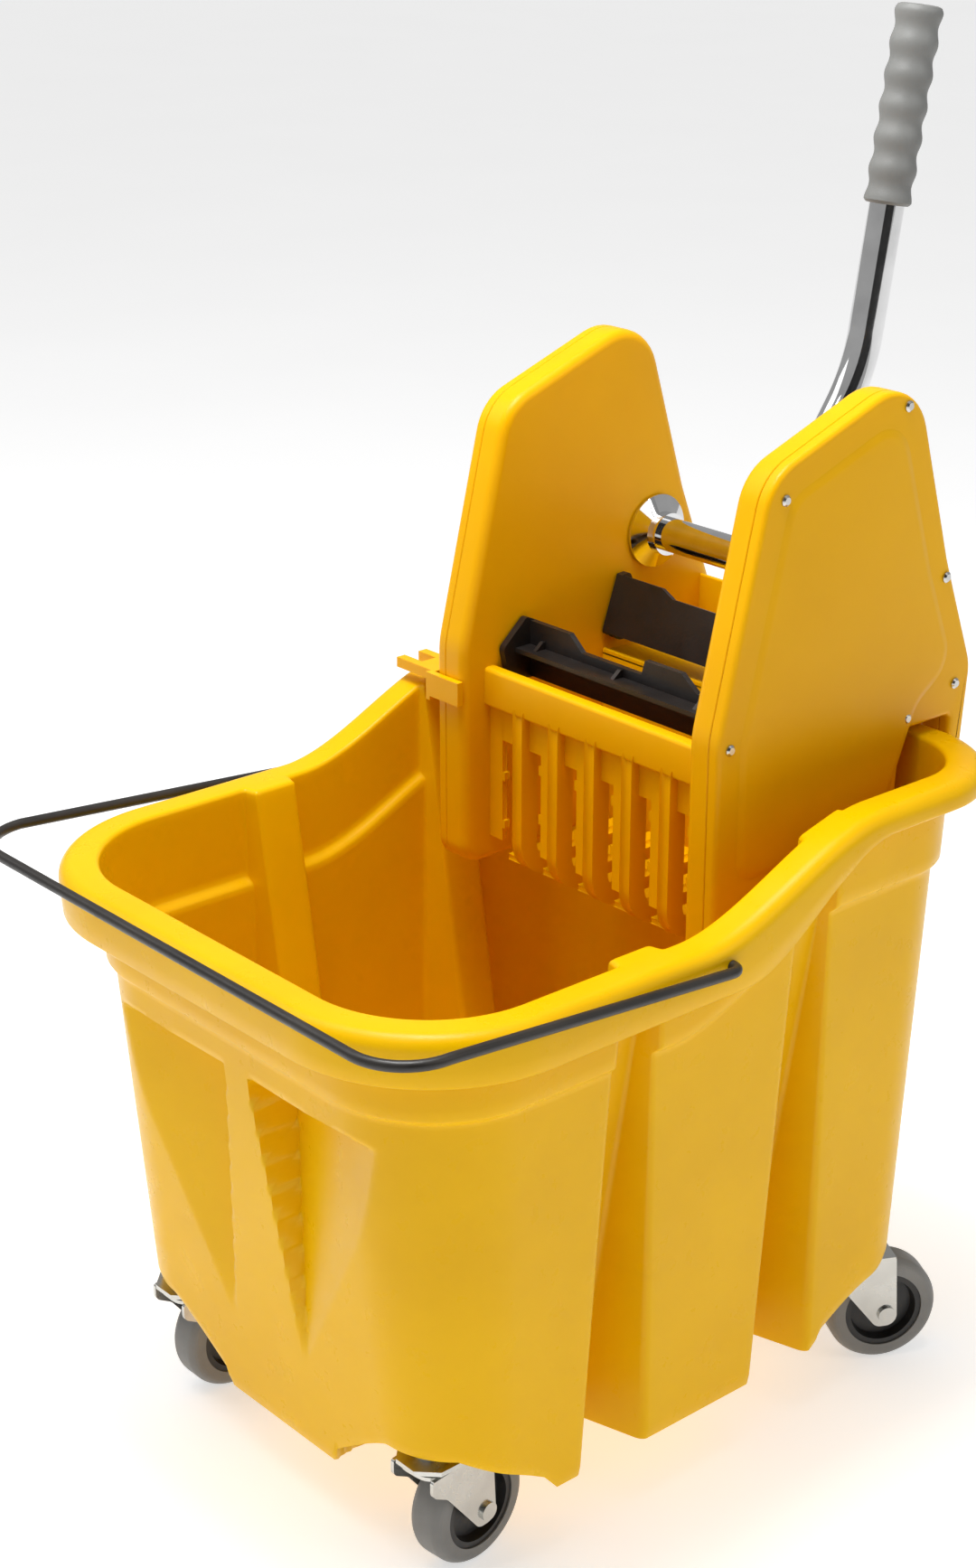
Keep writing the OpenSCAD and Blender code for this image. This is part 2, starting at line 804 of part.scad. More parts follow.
// A press plate about its hub axis: slab, stiffening flange, ribs and end arms with shafts.
// dir is +1 when the chamber lies towards +Y
module press_plate(dir, low, high) {
    mirror([0, dir < 0 ? 1 : 0, 0]) {
        along_y(slab_y, slab_y + plate_t) plate_face(low, high);
        translate([-plate_end + 4, -4, 13]) cube([2 * plate_end - 8, slab_y + 4.5, 3]);
        for (x = [-82, -9, 64]) along_x(x - 1.5, x + 1.5) polygon([
            [-3, 13], [slab_y + 0.5, 13], [slab_y + 0.5, low - 1], [slab_y - 2, low - 1]
        ]);
        both_sides() {
            along_x(plate_end - 5, plate_end) polygon(rounded([
                [-9, -4, 6], [slab_y + 4, -8, 3], [slab_y + 4, high, 1], [slab_y - 3, high + 3, 3], [-14, 17, 5]
            ]));
            rod_x(plate_end - 5, plate_end, 9);
            rod_x(plate_end, gear_x, hub_shaft_r);
        }
    }
}

module front_press_plate() {
    color([0.14, 0.13, 0.12]) translate([0, front_c[0], front_c[1]]) press_plate(1, front_low, front_high);
}

module rear_press_plate() {
    color([0.14, 0.13, 0.12]) translate([0, rear_c[0], rear_c[1]])
        rotate([-rear_tilt, 0, 0]) press_plate(-1, rear_low, rear_high);
}

// ---------- drive shaft and lever ----------

module drive_shaft() {
    color([0.80, 0.81, 0.83]) {
        rod_x(-gear_x, gear_x, shaft_d / 2, shaft_c);
        both_sides() {
            rod_x(gear_x, gear_x + gear_t, pin_r + 2, shaft_c);
            rod_x(gear_x + gear_t, gear_x + gear_t + pin_len, pin_r, shaft_c);
        }
    }
}

module shaft_flange() {
    color([0.80, 0.81, 0.83]) translate([0, shaft_c[0], shaft_c[1]]) rotate([0, 90, 0])
        rotate_extrude() polygon([
            [shaft_d / 2, face_in - 15], [shaft_d / 2 + 3, face_in - 15], [shaft_d / 2 + 3, face_in - 8],
            [25, face_in - 3], [25, face_in - 1], [shaft_d / 2, face_in - 1]
        ]);
}

// Places a child drawn up the Z axis at point c (Y, Z) leaning back by lean
module leaning(c, lean) {
    translate([0, c[0], c[1]]) rotate([-lean, 0, 0]) children();
}

socket_r = lever_r2 + 3.5;
socket_len = 56;

module lever_socket() {
    color([0.78, 0.79, 0.81]) difference() {
        union() {
            leaning(shaft_c, lean_low) cylinder(h = socket_len, r = socket_r);
            rod_x(-socket_r - 3, socket_r + 3, shaft_d / 2 + 4, shaft_c);
        }
        rod_x(-socket_r - 5, socket_r + 5, shaft_d / 2, shaft_c);
        leaning(shaft_c, lean_low) translate([0, 0, shaft_d / 2 + 4]) cylinder(h = socket_len, r = lever_r2);
        leaning(shaft_c, lean_low) translate([0, 0, 42]) rod_x(-30, 30, 3);
    }
}

module lever_bolt() {
    color([0.70, 0.71, 0.73]) leaning(shaft_c, lean_low) translate([0, 0, 42]) {
        rod_x(-socket_r - 6, socket_r, 3);
        rod_x(socket_r, socket_r + 3.5, 5.5);
        translate([-socket_r - 4, 0, 0]) rotate([0, 90, 0]) cylinder(h = 4, r = 5.8, $fn = 6);
    }
}

module lever_tube() {
    start = shaft_d / 2 + 4;
    color([0.80, 0.81, 0.83]) difference() {
        union() {
            leaning(shaft_c, lean_low) translate([0, 0, start]) cylinder(h = low_len - start, r = lever_r2);
            translate([0, bend_c[0], bend_c[1]]) sphere(r = lever_r2 + 0.15);
            leaning(bend_c, lean_high) cylinder(h = high_len - 3, r = lever_r2);
        }
        leaning(shaft_c, lean_low) translate([0, 0, 42]) rod_x(-30, 30, 3);
    }
}

module lever_grip() {
    color([0.60, 0.60, 0.60]) leaning(bend_c, lean_high) translate([0, 0, high_len - grip_len])
        rotate_extrude() polygon(concat(
            [[lever_r2, 0]], grip_profile(),
            [[0, grip_len], [0, grip_len - 3], [lever_r2, grip_len - 3]]
        ));
}

// ---------- nodes ----------

place() bucket_shell();
place() bail_handle();
place() at_caster(-1, false) caster_stem();  // front_left_caster_stem
place() at_caster(-1, false) caster_fork();  // front_left_caster_fork
place() at_caster(-1, false) caster_axle();  // front_left_caster_axle
place() at_caster(-1, false) wheel_hub();  // front_left_wheel_hub
place() at_caster(-1, false) tyre();  // front_left_tyre
place() at_caster(1, false) caster_stem();  // front_right_caster_stem
place() at_caster(1, false, heading_front_right) caster_fork();  // front_right_caster_fork
place() at_caster(1, false, heading_front_right) caster_axle();  // front_right_caster_axle
place() at_caster(1, false, heading_front_right) wheel_hub();  // front_right_wheel_hub
place() at_caster(1, false, heading_front_right) tyre();  // front_right_tyre
place() at_caster(-1, true) caster_stem();  // rear_left_caster_stem
place() at_caster(-1, true) caster_fork();  // rear_left_caster_fork
place() at_caster(-1, true) caster_axle();  // rear_left_caster_axle
place() at_caster(-1, true) wheel_hub();  // rear_left_wheel_hub
place() at_caster(-1, true) tyre();  // rear_left_tyre
place() at_caster(1, true) caster_stem();  // rear_right_caster_stem
place() at_caster(1, true, heading_rear_right) caster_fork();  // rear_right_caster_fork
place() at_caster(1, true, heading_rear_right) caster_axle();  // rear_right_caster_axle
place() at_caster(1, true, heading_rear_right) wheel_hub();  // rear_right_wheel_hub
place() at_caster(1, true, heading_rear_right) tyre();  // rear_right_tyre
place() wringer_basket();
place() left_housing_cover();
place() right_housing_cover();
place() on_side(-1) cover_screws();  // left_cover_screws
place() on_side(1) cover_screws();  // right_cover_screws
place() on_side(-1) rim_hook();  // left_rim_hook
place() drive_shaft();
place() on_side(-1) shaft_flange();  // left_shaft_flange
place() on_side(-1) lever_gear();  // left_lever_gear
place() on_side(1) shaft_flange();  // right_shaft_flange
place() on_side(1) lever_gear();  // right_lever_gear
place() lever_socket();
place() lever_bolt();
place() lever_tube();
place() lever_grip();
place() front_press_plate();
place() rear_press_plate();
place() on_side(-1) front_gear();  // left_front_gear
place() on_side(-1) rear_gear();  // left_rear_gear
place() on_side(1) front_gear();  // right_front_gear
place() on_side(1) rear_gear();  // right_rear_gear
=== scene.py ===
import json
import math
import bmesh
import bpy
import numpy as np
from mathutils import Matrix, Vector


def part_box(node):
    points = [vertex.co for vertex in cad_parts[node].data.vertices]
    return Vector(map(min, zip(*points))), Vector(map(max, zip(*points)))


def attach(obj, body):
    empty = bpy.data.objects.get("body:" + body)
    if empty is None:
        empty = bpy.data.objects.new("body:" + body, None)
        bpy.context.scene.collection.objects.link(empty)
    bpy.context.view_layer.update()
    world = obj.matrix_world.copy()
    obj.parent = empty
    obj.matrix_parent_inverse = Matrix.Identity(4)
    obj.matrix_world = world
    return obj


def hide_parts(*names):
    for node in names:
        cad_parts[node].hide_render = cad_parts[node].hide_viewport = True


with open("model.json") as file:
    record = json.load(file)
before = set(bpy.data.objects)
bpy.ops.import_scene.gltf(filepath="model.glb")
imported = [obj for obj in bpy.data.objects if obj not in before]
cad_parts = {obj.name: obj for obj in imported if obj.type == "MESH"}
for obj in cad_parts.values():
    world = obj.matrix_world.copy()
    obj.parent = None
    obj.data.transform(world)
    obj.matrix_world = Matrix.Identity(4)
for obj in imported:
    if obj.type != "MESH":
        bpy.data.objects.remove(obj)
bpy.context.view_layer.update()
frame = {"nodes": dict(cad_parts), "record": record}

# ------------------------------------------------------------------ frame
# Shapes are drawn in the part's design frame, in millimetres: Y = 0 at the rear of the rim.
SHAFT_Y, SHAFT_Z = -36.0, 526.0
lo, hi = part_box("drive_shaft")
SHIFT = (lo[1] + hi[1]) * 500.0 - SHAFT_Y


def to_row(points):
    """Design millimetres to the frame's metres."""
    p = np.asarray(points, dtype=float).reshape(-1, 3) * 0.001
    p[:, 1] += SHIFT * 0.001
    return p


# ------------------------------------------------------------------ camera
CAMERA_TURN, CAMERA_PITCH = math.radians(49.13), math.radians(21.65)
CAMERA_AT = (1137.0, -1257.0, 1030.0)
LENS = 61.09


def make_camera():
    az, pitch = CAMERA_TURN, CAMERA_PITCH
    fwd = Vector((-math.sin(az) * math.cos(pitch), math.cos(az) * math.cos(pitch), -math.sin(pitch)))
    right = Vector((math.cos(az), math.sin(az), 0.0))
    up = right.cross(fwd)
    data = bpy.data.cameras.new("camera")
    data.sensor_fit = "VERTICAL"
    data.sensor_height = 36.0
    data.lens = LENS
    data.clip_end = 50.0
    cam = bpy.data.objects.new("camera", data)
    rot = Matrix((right, up, -fwd)).transposed().to_4x4()
    cam.matrix_world = Matrix.Translation(to_row(CAMERA_AT)[0].tolist()) @ rot
    bpy.context.scene.collection.objects.link(cam)
    bpy.context.scene.camera = cam


make_camera()


# ------------------------------------------------------------------ materials
def links(mat):
    """The material's nodes and links."""
    return mat.node_tree.nodes, mat.node_tree.links


def new_material(name):
    """A new node material and its shader."""
    mat = bpy.data.materials.new(name)
    mat.use_nodes = True
    nodes, _ = links(mat)
    return mat, nodes["Principled BSDF"]


def coords(mat, scale=(1.0, 1.0, 1.0)):
    """Object coordinates, with a scale for each axis."""
    nodes, link = links(mat)
    tex = nodes.new("ShaderNodeTexCoord")
    mapping = nodes.new("ShaderNodeMapping")
    mapping.inputs["Scale"].default_value = scale
    link.new(tex.outputs["Object"], mapping.inputs["Vector"])
    return mapping.outputs["Vector"]


def noise(mat, vector, scale, detail=3.0, rough=0.5):
    """A noise texture's factor."""
    nodes, link = links(mat)
    n = nodes.new("ShaderNodeTexNoise")
    n.inputs["Scale"].default_value = scale
    n.inputs["Detail"].default_value = detail
    n.inputs["Roughness"].default_value = rough
    link.new(vector, n.inputs["Vector"])
    return n.outputs["Fac"]


def ramp(mat, fac, stops):
    """Turns a factor into colour by (position, colour) stops."""
    nodes, link = links(mat)
    r = nodes.new("ShaderNodeValToRGB")
    el = r.color_ramp.elements
    while len(el) < len(stops):
        el.new(0.5)
    for e, (pos, col) in zip(el, stops):
        e.position = pos
        e.color = (*col, 1.0)
    link.new(fac, r.inputs["Fac"])
    return r.outputs["Color"]


def remap(mat, fac, lo_out, hi_out, lo_in=0.3, hi_in=0.7):
    """Stretches the middle of a noise's range to a range of values."""
    nodes, link = links(mat)
    m = nodes.new("ShaderNodeMapRange")
    m.inputs["From Min"].default_value = lo_in
    m.inputs["From Max"].default_value = hi_in
    m.inputs["To Min"].default_value = lo_out
    m.inputs["To Max"].default_value = hi_out
    link.new(fac, m.inputs["Value"])
    return m.outputs["Result"]


def bump(mat, bsdf, heights):
    """Adds bumps one on another, each as (height socket, strength, distance in metres)."""
    nodes, link = links(mat)
    last = None
    for height, strength, distance in heights:
        b = nodes.new("ShaderNodeBump")
        b.inputs["Strength"].default_value = strength
        b.inputs["Distance"].default_value = distance
        link.new(height, b.inputs["Height"])
        if last:
            link.new(last, b.inputs["Normal"])
        last = b.outputs["Normal"]
    link.new(last, bsdf.inputs["Normal"])


def yellow_plastic(name, dark, mid, light, rough):
    """Moulded polypropylene: cloudy colour, a fine skin grain and faint flow marks."""
    mat, bsdf = new_material(name)
    link = links(mat)[1]
    vec = coords(mat)
    cloud = noise(mat, vec, 7.0, 4.0, 0.55)
    link.new(ramp(mat, cloud, [(0.25, dark), (0.5, mid), (0.8, light)]), bsdf.inputs["Base Color"])
    wear = noise(mat, vec, 60.0, 5.0, 0.6)
    link.new(remap(mat, wear, rough - 0.05, rough + 0.07), bsdf.inputs["Roughness"])
    bsdf.inputs["IOR"].default_value = 1.49
    bsdf.inputs["Subsurface Weight"].default_value = 0.06
    bsdf.inputs["Subsurface Radius"].default_value = (1.0, 0.45, 0.05)
    bsdf.inputs["Subsurface Scale"].default_value = 0.012
    bsdf.inputs["Specular IOR Level"].default_value = 0.16
    fine = noise(mat, vec, 900.0, 2.0, 0.5)
    wave = noise(mat, vec, 16.0, 2.0, 0.5)
    bump(mat, bsdf, [(wave, 0.25, 0.0012), (fine, 0.10, 0.0002)])
    return mat


def dark_plastic(name, dark, light, rough, scale=500.0):
    """Plain moulded plastic or rubber: two tones, scuffs and a skin grain of the given scale."""
    mat, bsdf = new_material(name)
    link = links(mat)[1]
    vec = coords(mat)
    link.new(ramp(mat, noise(mat, vec, 22.0, 5.0), [(0.3, dark), (0.75, light)]), bsdf.inputs["Base Color"])
    scuff = noise(mat, vec, 90.0, 5.0, 0.65)
    link.new(remap(mat, scuff, rough - 0.08, rough + 0.1), bsdf.inputs["Roughness"])
    fine = noise(mat, vec, scale, 2.0)
    bump(mat, bsdf, [(scuff, 0.12, 0.0006), (fine, 0.35, 0.00025)])
    return mat


def metal(name, base, rough, streak, axis):
    """Plated steel with fine drawn lines along one axis."""
    mat, bsdf = new_material(name)
    link = links(mat)[1]
    lines = noise(mat, coords(mat, tuple(12.0 if k == axis else 700.0 for k in range(3))), 1.0, 2.0)
    haze = noise(mat, coords(mat), 40.0, 4.0)
    darker = tuple(0.82 * c for c in base)
    link.new(ramp(mat, haze, [(0.3, darker), (0.7, base)]), bsdf.inputs["Base Color"])
    link.new(remap(mat, haze, rough * 0.7, rough * 1.4), bsdf.inputs["Roughness"])
    bsdf.inputs["Metallic"].default_value = 1.0
    bump(mat, bsdf, [(lines, streak, 0.00006)])
    return mat


MAT = {
    "bucket_plastic": yellow_plastic(
        "bucket_plastic", (0.80, 0.44, 0.0), (0.86, 0.485, 0.0), (0.90, 0.52, 0.0), 0.30),
    "wringer_plastic": yellow_plastic(
        "wringer_plastic", (0.82, 0.41, 0.0), (0.87, 0.445, 0.0), (0.90, 0.475, 0.0), 0.33),
    "bail_coating": dark_plastic("bail_coating", (0.012, 0.010, 0.009), (0.03, 0.025, 0.02), 0.38),
    "grey_tread": dark_plastic("grey_tread", (0.17, 0.165, 0.155), (0.24, 0.235, 0.22), 0.55, 700.0),
    "hub_plastic": dark_plastic("hub_plastic", (0.006, 0.006, 0.006), (0.014, 0.013, 0.012), 0.42),
    "zinc_plate": metal("zinc_plate", (0.60, 0.60, 0.57), 0.24, 0.25, 2),
    "chrome": metal("chrome", (0.82, 0.82, 0.82), 0.07, 0.05, 0),
    "grip_rubber": dark_plastic("grip_rubber", (0.17, 0.172, 0.165), (0.22, 0.222, 0.213), 0.5, 900.0),
    "screw_steel": metal("screw_steel", (0.66, 0.65, 0.62), 0.25, 0.2, 0),
    "press_plastic": dark_plastic("press_plastic", (0.007, 0.005, 0.0045), (0.018, 0.014, 0.012), 0.40, 400.0),
    "gear_plastic": dark_plastic("gear_plastic", (0.55, 0.53, 0.48), (0.65, 0.63, 0.58), 0.4),
}

SLOT = {s["node"]: s["material_slot"] for s in frame["record"]["subparts"]}


# ------------------------------------------------------------------ mesh helpers
SHARP = 32.0


def add_mesh(name, verts, faces, slot, body):
    """A smooth-shaded piece from design points, riding on a body."""
    mesh = bpy.data.meshes.new(name)
    mesh.from_pydata(to_row(verts).tolist(), [], [list(map(int, f)) for f in faces])
    mesh.validate()
    mesh.shade_smooth()
    obj = bpy.data.objects.new(name, mesh)
    bpy.context.scene.collection.objects.link(obj)
    mesh.materials.append(MAT[slot])
    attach(obj, body)
    return obj


def finish_mesh(obj, edit=None, sharp=SHARP):
    """Runs an edit on the piece's mesh, turns its faces outward and keeps the edges above an angle sharp."""
    bm = bmesh.new()
    bm.from_mesh(obj.data)
    if edit:
        edit(bm)
    bmesh.ops.recalc_face_normals(bm, faces=bm.faces)
    bm.to_mesh(obj.data)
    bm.free()
    obj.data.shade_smooth()
    obj.data.set_sharp_from_angle(angle=math.radians(sharp))


def merge(dist):
    """An edit that joins points closer than a distance."""
    return lambda bm: bmesh.ops.remove_doubles(bm, verts=bm.verts, dist=dist)


def lerp(a, b, t):
    """The value a share t of the way from a to b."""
    return a + (b - a) * t


def smooth01(t):
    """An S-shaped ramp from 0 to 1."""
    t = np.clip(t, 0.0, 1.0)
    return t * t * (3 - 2 * t)


def round_corner(a, b, c, r, n):
    """Points of an arc of radius r at corner b, between the neighbours a and c."""
    a, b, c = (np.asarray(p, dtype=float) for p in (a, b, c))
    u = (a - b) / np.linalg.norm(a - b)
    w = (c - b) / np.linalg.norm(c - b)
    if r <= 0:
        return [b]
    half = math.acos(np.clip(np.dot(u, w), -1, 1)) / 2
    if half > math.pi / 2 - 1e-4:
        return [b] * (n + 1)
    centre = b + (u + w) / np.linalg.norm(u + w) * r / math.sin(half)
    p, q = b + u * r / math.tan(half), b + w * r / math.tan(half)
    a0 = math.atan2(*(p - centre)[::-1])
    sweep = math.atan2(*(q - centre)[::-1]) - a0
    sweep = (sweep + math.pi) % (2 * math.pi) - math.pi
    return [centre + r * np.array([math.cos(a0 + sweep * k / n), math.sin(a0 + sweep * k / n)])
            for k in range(n + 1)]


def rounded(corners, n):
    """A closed outline from (x, y, radius) corners."""
    m = len(corners)
    out = []
    for i, (x, y, r) in enumerate(corners):
        a, c = corners[i - 1], corners[(i + 1) % m]
        out += round_corner(a[:2], (x, y), c[:2], r, n)
    return np.array(out)


def rounded_open(corners, n):
    """An open line from (x, y, radius) corners."""
    out = [np.array(corners[0][:2], dtype=float)]
    for i in range(1, len(corners) - 1):
        out += round_corner(corners[i - 1][:2], corners[i][:2], corners[i + 1][:2], corners[i][2], n)
    return np.array(out + [np.array(corners[-1][:2], dtype=float)])


AXES = {"x": (0, 1, 2), "y": (1, 0, 2), "z": (2, 0, 1)}


def prism(name, outline, axis, a, b, slot, body, bevel):
    """A flat outline pushed along an axis from a to b, with both ends' edges rounded."""
    outline = np.asarray(outline, dtype=float)
    n = len(outline)
    i, j, k = AXES[axis]
    verts = np.zeros((2 * n, 3))
    verts[:n, i], verts[n:, i] = a, b
    for s in (slice(0, n), slice(n, 2 * n)):
        verts[s, j], verts[s, k] = outline[:, 0], outline[:, 1]
    faces = [list(range(n)), list(range(2 * n - 1, n - 1, -1))]
    faces += [[p, (p + 1) % n, n + (p + 1) % n, n + p] for p in range(n)]
    shift = SHIFT if axis == "y" else 0.0

    def round_ends(bm):
        for end in (a, b):
            level = (end + shift) * 0.001
            pick = [e for e in bm.edges if all(abs(v.co[i] - level) < 1e-7 for v in e.verts)]
            bmesh.ops.bevel(bm, geom=pick, offset=bevel * 0.001, segments=3, profile=0.5,
                            affect="EDGES", clamp_overlap=False)

    obj = add_mesh(name, verts, faces, slot, body)
    finish_mesh(obj, round_ends)
    return obj


def tube(name, path, radius, slot, body, sides):
    """A round bar swept along a smooth path, with flat ends."""
    path = np.asarray(path, dtype=float)
    tangents = np.gradient(path, axis=0)
    tangents /= np.linalg.norm(tangents, axis=1)[:, None]
    ref = np.array([0.0, 0.0, 1.0]) if abs(tangents[0][2]) < 0.9 else np.array([1.0, 0.0, 0.0])
    normal = ref - tangents[0] * np.dot(ref, tangents[0])
    normal /= np.linalg.norm(normal)
    rings = []
    for p, t in zip(path, tangents):
        normal = normal - t * np.dot(normal, t)
        normal /= np.linalg.norm(normal)
        other = np.cross(t, normal)
        rings.append([p + radius * (math.cos(a) * normal + math.sin(a) * other)
                      for a in np.linspace(0, 2 * math.pi, sides, endpoint=False)])
    verts = np.array(rings).reshape(-1, 3).tolist()
    m = len(path)
    faces = [[k * sides + i, k * sides + (i + 1) % sides, (k + 1) * sides + (i + 1) % sides,
              (k + 1) * sides + i] for k in range(m - 1) for i in range(sides)]
    faces += [list(range(sides))[::-1], [(m - 1) * sides + i for i in range(sides)]]
    obj = add_mesh(name, verts, faces, slot, body)
    finish_mesh(obj, sharp=50)
    return obj


def revolve(name, profile, place, slot, body, steps):
    """A closed profile of (radius, height) turned about its height axis, then put by place."""
    profile = np.asarray(profile, dtype=float)
    n = len(profile)
    verts = [place(r * math.cos(a), r * math.sin(a), h)
             for a in np.linspace(0, 2 * math.pi, steps, endpoint=False) for r, h in profile]
    faces = [[k * n + i, k * n + (i + 1) % n, ((k + 1) % steps) * n + (i + 1) % n, ((k + 1) % steps) * n + i]
             for k in range(steps) for i in range(n)]
    obj = add_mesh(name, verts, faces, slot, body)
    finish_mesh(obj, merge(1e-6))
    return obj


def densify(points, step):
    """The same line with points at most about a step apart."""
    points = np.asarray(points, dtype=float)
    out = [points[0]]
    for p, q in zip(points[:-1], points[1:]):
        k = max(1, int(np.linalg.norm(q - p) / step))
        out += [p + (q - p) * (j + 1) / k for j in range(k)]
    return np.array(out)


# ------------------------------------------------------------------ bucket
FOOT_Z, TOP_Z = 50.0, 444.0
OVERHANG, COLLAR, STEP, WALL = 22.0, 66.0, 5.0, 3.5
RIM_LOW, RIM_HIGH, RISE0, RISE1 = 392.0, 440.0, -285.0, -135.0
SKIRT_LOW, SKIRT_HIGH, SKIRT0, SKIRT1 = 361.0, 425.0, -250.0, -130.0
HALF = (167.0, 180.0)
FRONT = (-448.0, -486.0)
REAR = (-38.0, -22.0)
R_FRONT = (58.0, 85.0)
R_REAR = (46.0, 52.0)
GROOVES = (-312.0, -166.0)
GROOVE_FLOOR, GROOVE_SLOPE, GROOVE_HALF, FLARE = 112.0, 57.0 / 342.0, 12.0, 0.28
CASTER_X, CASTER_YS = 124.0, (-425.0, -70.0)


def rim_z(y):
    """Height of the rim's top along the bucket."""
    return RIM_LOW + (RIM_HIGH - RIM_LOW) * smooth01((y - RISE0) / (RISE1 - RISE0))


def skirt_z(y):
    """Height of the lower edge of the rim's skirt."""
    return SKIRT_LOW + (SKIRT_HIGH - SKIRT_LOW) * smooth01((y - SKIRT0) / (SKIRT1 - SKIRT0))


def groove_template():
    """Groove section as (share of the depth, side, distance out from the flank line) points."""
    depth, half, beside, round_r = 30.0, GROOVE_HALF, 9, 5
    mouth = half + FLARE * depth
    points = rounded_open([(0, -mouth - beside, 0), (0, -mouth, round_r), (depth, -half, round_r),
                           (depth, half, round_r), (0, mouth, round_r), (0, mouth + beside, 0)], 5)
    out = []
    for d, y in points:
        u = d / depth
        out.append((u, -1 if y < 0 else 1, abs(y) - (half + FLARE * depth * (1 - u))))
    return out


TEMPLATE = groove_template()


def groove_point(y0, k, half, z, grow, inset):
    """Growth and Y of one point of a groove's section at a height, for the wall line grown by grow."""
    u, side, out = TEMPLATE[k]
    depth = 0.0
    if inset is None:
        inset = 0.0
    else:
        depth = max(0.0, half + grow - (GROOVE_FLOOR + GROOVE_SLOPE * (z - FOOT_Z) - inset))
    soft = min(1.0, depth / 6.0)
    away = GROOVE_HALF + inset + FLARE * depth * (1 - u) + out * lerp(0.6, 1.0, soft)
    return grow - u * depth, y0 + side * away


def perimeter_samples():
    """Kinds and places of the points round one half of the bucket, from the front centre to the rear centre."""
    out = [("front", t) for t in np.linspace(0, 1, 45)]
    out += [("c1", a) for a in np.radians(np.linspace(-90, 0, 33))[1:]]
    out += [("s0", t) for t in np.linspace(0, 1, 5)[1:]]
    out += [("groove", (0, k)) for k in range(len(TEMPLATE))]
    out += [("abs", t) for t in np.linspace(0, 1, 26)[1:-1]]
    out += [("groove", (1, k)) for k in range(len(TEMPLATE))]
    out += [("s1", t) for t in np.linspace(0, 1, 10)[1:]]
    out += [("c2", a) for a in np.radians(np.linspace(0, 90, 21))[1:]]
    out += [("rear", t) for t in np.linspace(1, 0, 25)[1:]]
    return out


SAMPLES = perimeter_samples()


def ring(level_z, grow, inset=0.0):
    """Points of half a ring of the wall line grown by grow, at the heights level_z(x, y).

    inset moves the grooves in with the inner skin, and None leaves them out.
    """
    pts = []
    for kind, v in SAMPLES:
        x = y = 0.0
        z = 200.0
        for _ in range(4):
            s = (z - FOOT_Z) / (TOP_Z - FOOT_Z)
            half, front, rear = lerp(*HALF, s), lerp(*FRONT, s), lerp(*REAR, s)
            rf, rr = lerp(*R_FRONT, s), lerp(*R_REAR, s)
            if kind == "front":
                x, y = v * (half - rf), front - grow
            elif kind == "c1":
                x, y = half - rf + (rf + grow) * math.cos(v), front + rf + (rf + grow) * math.sin(v)
            elif kind == "s0":
                x, y = half + grow, lerp(front + rf, groove_point(GROOVES[0], 0, half, z, grow, inset)[1], v)
            elif kind == "groove":
                g, y = groove_point(GROOVES[v[0]], v[1], half, z, grow, inset)
                x = half + g
            elif kind == "abs":
                a = groove_point(GROOVES[0], -1, half, z, grow, inset)[1]
                b = groove_point(GROOVES[1], 0, half, z, grow, inset)[1]
                x, y = half + grow, lerp(a, b, v)
            elif kind == "s1":
                x = half + grow
                y = lerp(groove_point(GROOVES[1], -1, half, z, grow, inset)[1], rear - rr, v)
            elif kind == "c2":
                x, y = half - rr + (rr + grow) * math.cos(v), rear - rr + (rr + grow) * math.sin(v)
            else:
                x, y = v * (half - rr), rear + grow
            z = float(level_z(x, y))
        pts.append((x, y, z))
    return pts


WELL_TOP, WELL_LOW, WELL_FLAT_R, WELL_R = 94.0, 60.0, 26.0, 71.0


def well_height(x, y, grow=0.0, base=FOOT_Z):
    """Height of the underside at a place, with the four wheel wells."""
    r = min(math.hypot(abs(x) - CASTER_X, y - cy) for cy in CASTER_YS) - grow
    top, low = WELL_TOP + grow, WELL_LOW + grow / 2
    if r < WELL_FLAT_R:
        return top
    if r < WELL_R:
        return lerp(top, low, (r - WELL_FLAT_R) / (WELL_R - WELL_FLAT_R))
    return lerp(low, base, min(1.0, (r - WELL_R) / 1.2))


RECESS_Y, RECESS_Z, RECESS_X = -433.8, 303.0, 12.0


def recess_shift(x, y, z, grow):
    """How far a point of the front wall moves back into one of the two wedge-shaped hand recesses."""
    x = abs(x)
    plane = RECESS_Y + grow - 0.2545 * (x - RECESS_X) + 0.049 * (z - RECESS_Z)
    depth = max(0.0, plane - y)
    edge = RECESS_X - grow + 0.13 * (RECESS_Z - z)
    side = smooth01((x - edge + 1.0) / 3.5)
    top = 1.0 - smooth01((z - RECESS_Z + 3.0 - grow) / 4.0)
    return float(depth * side * top)


